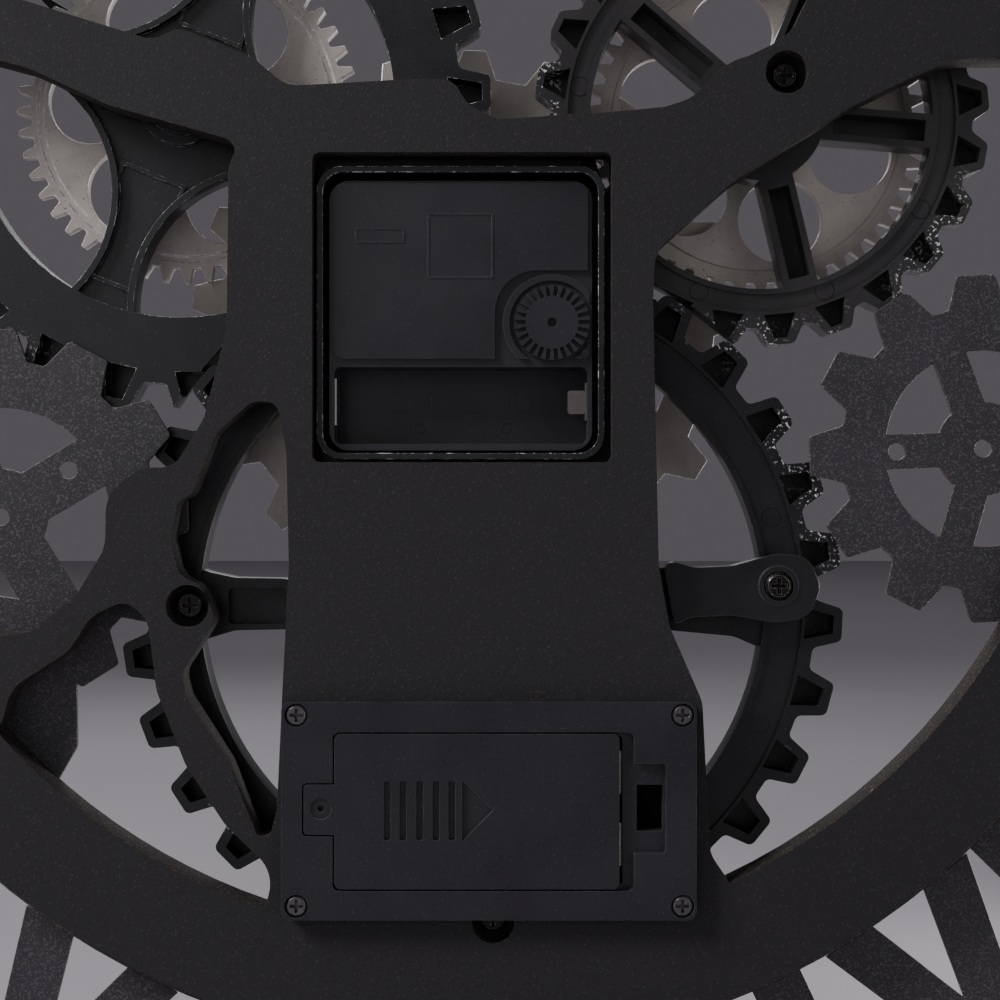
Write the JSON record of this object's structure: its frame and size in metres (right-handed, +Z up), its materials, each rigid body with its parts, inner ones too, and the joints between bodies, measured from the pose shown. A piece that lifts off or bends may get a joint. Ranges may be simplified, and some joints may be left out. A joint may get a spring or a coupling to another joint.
{
  "type": "skeleton wall clock",
  "caption": "Round open-work wall clock with Roman numerals, moulded gear rings, turning silver gears, a quartz movement and a rear battery box.",
  "frame": {"origin": "on the hand axis, at the middle of the clock's depth", "axes": "+Z up to twelve o'clock, -Y out of the dial towards the viewer, +Y to the wall, +X to three o'clock"},
  "size_m": [0.4499, 0.0414, 0.45],
  "materials": {
    "painted_board": "matt paint over fibreboard, brown where it has chipped",
    "powder_coated_steel": "speckled powder coat",
    "dark_moulding": "moulded, scuffed bright at the edges",
    "case_plastic": "satin moulded",
    "silver_plastic": "aged silver paint",
    "nickel": "nickel plate",
    "black_screw": "black oxide",
    "hand_metal": "black lacquer",
    "brass": "turned",
    "white_plastic": "acetal",
    "copper_wire": "enamelled winding",
    "iron_core": "stamped",
    "circuit_board": "laminate"
  },
  "bodies": {
    "frame": {"back_frame": "painted_board", "dial_inner_ring": "powder_coated_steel", "dial_outer_ring": "powder_coated_steel", "dial_numerals": "powder_coated_steel", "sheet_gear_left": "powder_coated_steel", "sheet_gear_right": "powder_coated_steel", "gear_ring_lower": "dark_moulding", "gear_ring_upper_right": "dark_moulding", "gear_ring_upper_left": "dark_moulding", "gear_bridge": "dark_moulding", "movement_pocket": "dark_moulding", "movement_back_case": "case_plastic", "movement_front_case": "case_plastic", "movement_contacts": "nickel", "movement_coil": "copper_wire", "movement_stator": "iron_core", "movement_circuit": "circuit_board", "bushing_washer": "brass", "bushing_nut": "brass", "drive_motor": "iron_core", "motor_screws": "black_screw", "shoulder_screw_right": "nickel", "shoulder_screw_left": "nickel", "battery_box_housing": "case_plastic", "battery_box_contacts": "nickel", "battery_box_screws": "black_screw", "frame_screws": "black_screw", "bridge_screw": "black_screw", "hanger_plate": "nickel", "hanger_screws": "black_screw"},
    "minute_train": {"centre_wheel": "brass", "minute_hand": "hand_metal", "hand_nut": "brass"},
    "hour_train": {"hour_wheel": "white_plastic", "hour_hand": "hand_metal"},
    "minute_wheel": {"minute_wheel": "white_plastic"},
    "third_wheel": {"third_wheel": "white_plastic"},
    "second_wheel": {"second_wheel": "white_plastic"},
    "stepper_rotor": {"stepper_rotor": "white_plastic"},
    "knob": {"setting_knob": "case_plastic"},
    "drive": {"drive_gear": "silver_plastic", "star_gear": "silver_plastic"},
    "right_rotor": {"turning_gear_right": "silver_plastic"},
    "left_rotor": {"turning_gear_left": "silver_plastic"},
    "pinion": {"motor_pinion": "white_plastic"},
    "door": {"battery_door": "case_plastic"}
  },
  "joints": [
    {"name": "minute_spin", "type": "hinge", "parent": "frame", "child": "minute_train", "pos_m": [0, 0, 0], "axis": [0, -1, 0], "continuous": true},
    {"name": "hour_spin", "type": "hinge", "parent": "frame", "child": "hour_train", "pos_m": [0, 0, 0], "axis": [0, -1, 0], "continuous": true},
    {"name": "minute_wheel_spin", "type": "hinge", "parent": "frame", "child": "minute_wheel", "pos_m": [-0.00953, 0, 0.00397], "axis": [0, -1, 0], "continuous": true},
    {"name": "third_wheel_spin", "type": "hinge", "parent": "frame", "child": "third_wheel", "pos_m": [0.00476, 0, 0.00825], "axis": [0, -1, 0], "continuous": true},
    {"name": "second_wheel_spin", "type": "hinge", "parent": "frame", "child": "second_wheel", "pos_m": [0.01398, 0, 0.00987], "axis": [0, -1, 0], "continuous": true},
    {"name": "rotor_step", "type": "hinge", "parent": "frame", "child": "stepper_rotor", "pos_m": [0.012, 0, 0.0246], "axis": [0, -1, 0], "continuous": true},
    {"name": "knob_turn", "type": "hinge", "parent": "frame", "child": "knob", "pos_m": [-0.0184, 0, -0.0013], "axis": [0, -1, 0], "continuous": true},
    {"name": "drive_spin", "type": "hinge", "parent": "frame", "child": "drive", "pos_m": [0, 0, 0], "axis": [0, -1, 0], "continuous": true},
    {"name": "right_rotor_spin", "type": "hinge", "parent": "frame", "child": "right_rotor", "pos_m": [0.06175, 0, 0.04687], "axis": [0, -1, 0], "continuous": true},
    {"name": "left_rotor_spin", "type": "hinge", "parent": "frame", "child": "left_rotor", "pos_m": [-0.06396, 0, 0.0438], "axis": [0, -1, 0], "continuous": true},
    {"name": "pinion_spin", "type": "hinge", "parent": "frame", "child": "pinion", "pos_m": [0, 0, -0.04788], "axis": [0, -1, 0], "continuous": true},
    {"name": "door_slide", "type": "slide", "parent": "frame", "child": "door", "axis": [-1, 0, 0], "range_m": [0, 0.0028]}
  ],
  "couplings": [
    {"joint": "hour_spin", "follows": "minute_spin", "ratio": 0.083333},
    {"joint": "minute_wheel_spin", "follows": "minute_spin", "ratio": -0.33333},
    {"joint": "knob_turn", "follows": "minute_spin", "ratio": 1},
    {"joint": "third_wheel_spin", "follows": "minute_spin", "ratio": -7.5},
    {"joint": "second_wheel_spin", "follows": "minute_spin", "ratio": 60},
    {"joint": "right_rotor_spin", "follows": "drive_spin", "ratio": -1.125},
    {"joint": "left_rotor_spin", "follows": "drive_spin", "ratio": -1.125},
    {"joint": "pinion_spin", "follows": "drive_spin", "ratio": -6}
  ]
}
